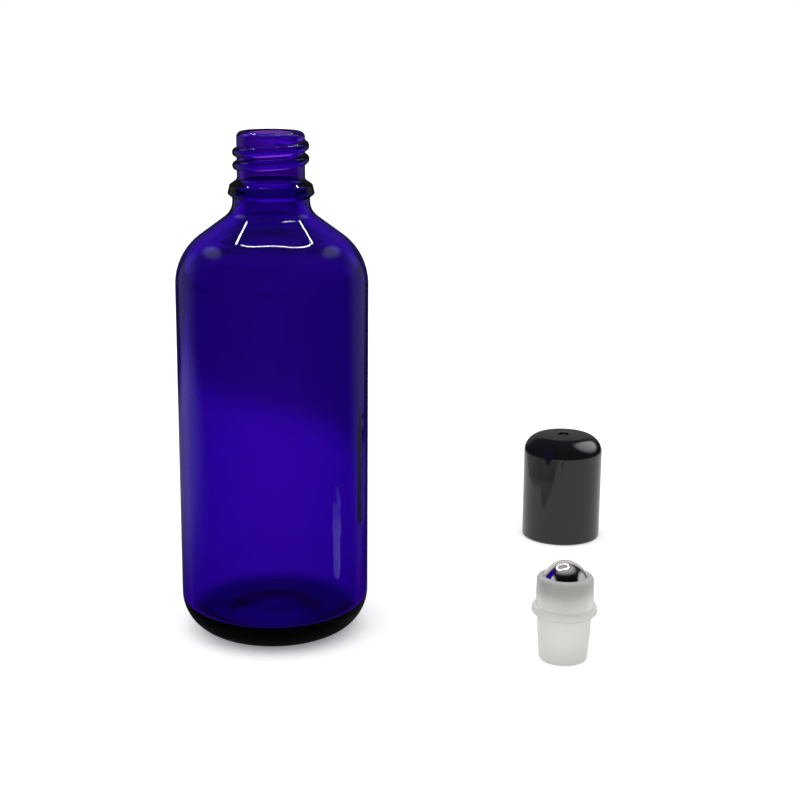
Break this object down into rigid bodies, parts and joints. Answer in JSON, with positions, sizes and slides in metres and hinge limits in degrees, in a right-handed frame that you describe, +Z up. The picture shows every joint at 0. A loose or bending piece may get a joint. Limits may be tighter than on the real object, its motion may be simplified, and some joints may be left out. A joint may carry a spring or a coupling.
{
  "type": "roll on bottle",
  "caption": "Glass bottle with a screw neck, beside its push-in roll-on insert with a captive steel ball and its domed-edge screw cap, for dispensing liquid through the rolling ball.",
  "frame": {"origin": "centre of the bottle's base, on the plane of the ring that it stands on", "axes": "+Z up along the bottle's axis out of the mouth, +X towards the side where the insert and the cap stand, -Y towards the front"},
  "size_m": [0.1155, 0.1086, 0.12],
  "materials": {
    "blue_glass": "clear cobalt blue, polished",
    "frosted_plastic": "natural milky polyethylene, satin",
    "polished_steel": "mirror polished ball",
    "black_plastic": "high gloss black"
  },
  "bodies": {
    "bottle": {"bottle": "blue_glass"},
    "insert": {"roller_housing": "frosted_plastic"},
    "ball": {"roller_ball": "polished_steel"},
    "cap": {"cap": "black_plastic"}
  },
  "joints": [
    {"name": "insert_carry", "type": "slide", "parent": "bottle", "child": "insert", "axis": [-0.3925, 0.1465, 0.908], "range_m": [0, 0.1707]},
    {"name": "cap_carry", "type": "slide", "parent": "bottle", "child": "cap", "axis": [-0.3429, -0.2718, 0.8992], "range_m": [0, 0.23911]},
    {"name": "ball_roll", "type": "hinge", "parent": "insert", "child": "ball", "pos_m": [0.067, -0.025, 0.01821], "axis": [1, 0, 0], "continuous": true}
  ]
}
